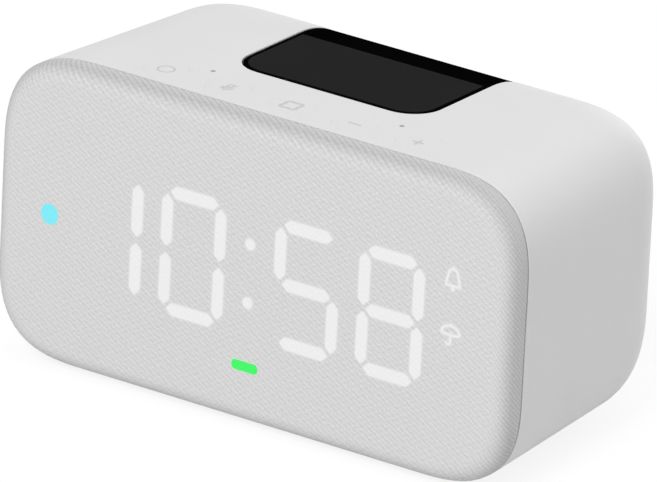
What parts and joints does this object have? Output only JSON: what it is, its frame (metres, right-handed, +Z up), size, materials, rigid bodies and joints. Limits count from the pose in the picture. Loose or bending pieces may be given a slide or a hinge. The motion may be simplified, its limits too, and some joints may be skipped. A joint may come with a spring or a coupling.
{
  "type": "smart clock",
  "caption": "Rounded table clock with a cloth front over a lit segment display, push keys on top, a black panel that wraps over the back, and a loudspeaker inside.",
  "frame": {"origin": "on the table under the middle of the clock's box, at the height of the undersides of the feet", "axes": "+X to the right as seen from the front, +Y from the cloth front to the back, +Z up"},
  "size_m": [0.12, 0.0684, 0.0625],
  "materials": {
    "white_plastic": "fine matte texture",
    "cloth": "fine twill, stretched",
    "dark_plastic": "moulded",
    "black_panel": "satin black",
    "pad_rubber": "matte dark grey",
    "milky_film": "diffusing film",
    "circuit_board": "solder mask",
    "steel": "plated",
    "ferrite": "sintered",
    "rubber": "soft",
    "cone_paper": "pressed pulp",
    "copper": "enamelled wire",
    "ribbon_film": "flat flexible cable",
    "black_plastic": "moulded"
  },
  "bodies": {
    "clock": {"body_shell": "white_plastic", "fabric_cover": "cloth", "grille_frame": "dark_plastic", "rear_panel": "black_panel", "panel_pad": "pad_rubber", "display_film": "milky_film", "display_reflector": "dark_plastic", "display_board": "circuit_board", "switch_action": "black_plastic", "switch_mic_mute": "black_plastic", "switch_alarm": "black_plastic", "switch_volume_down": "black_plastic", "switch_volume_up": "black_plastic", "key_board": "circuit_board", "microphone_left": "steel", "microphone_right": "steel", "mic_gasket_left": "rubber", "mic_gasket_right": "rubber", "inner_chassis": "dark_plastic", "speaker_basket": "steel", "speaker_surround": "rubber", "speaker_spider": "cloth", "speaker_top_plate": "steel", "speaker_magnet": "ferrite", "speaker_yoke": "steel", "main_board": "circuit_board", "shield_can": "steel", "dc_jack": "black_plastic", "display_ribbon": "ribbon_film", "key_ribbon": "ribbon_film", "speaker_lead": "black_plastic", "foot_front_left": "rubber", "foot_front_right": "rubber", "foot_back_left": "rubber", "foot_back_right": "rubber", "chassis_screw_front_left": "steel", "chassis_screw_front_right": "steel", "chassis_screw_back_left": "steel", "chassis_screw_back_right": "steel", "board_screw_lower_left": "steel", "board_screw_lower_right": "steel", "board_screw_upper_left": "steel", "board_screw_upper_right": "steel", "speaker_screw_lower_left": "steel", "speaker_screw_lower_right": "steel", "speaker_screw_upper_left": "steel", "speaker_screw_upper_right": "steel"},
    "action_key": {"key_action": "white_plastic"},
    "mic_mute_key": {"key_mic_mute": "white_plastic"},
    "alarm_key": {"key_alarm": "white_plastic"},
    "volume_down_key": {"key_volume_down": "white_plastic"},
    "volume_up_key": {"key_volume_up": "white_plastic"},
    "cone": {"speaker_cone": "cone_paper", "dust_cap": "cone_paper", "voice_coil": "copper"}
  },
  "joints": [
    {"name": "action_press", "type": "slide", "parent": "clock", "child": "action_key", "axis": [0, 0, -1], "range_m": [0, 0.0005], "stiffness_N_per_m": 3200},
    {"name": "mic_mute_press", "type": "slide", "parent": "clock", "child": "mic_mute_key", "axis": [0, 0, -1], "range_m": [0, 0.0005], "stiffness_N_per_m": 3200},
    {"name": "alarm_press", "type": "slide", "parent": "clock", "child": "alarm_key", "axis": [0, 0, -1], "range_m": [0, 0.0005], "stiffness_N_per_m": 3200},
    {"name": "volume_down_press", "type": "slide", "parent": "clock", "child": "volume_down_key", "axis": [0, 0, -1], "range_m": [0, 0.0005], "stiffness_N_per_m": 3200},
    {"name": "volume_up_press", "type": "slide", "parent": "clock", "child": "volume_up_key", "axis": [0, 0, -1], "range_m": [0, 0.0005], "stiffness_N_per_m": 3200},
    {"name": "cone_travel", "type": "slide", "parent": "clock", "child": "cone", "axis": [0, -1, 0], "range_m": [-0.0015, 0.0015], "stiffness_N_per_m": 1000}
  ]
}
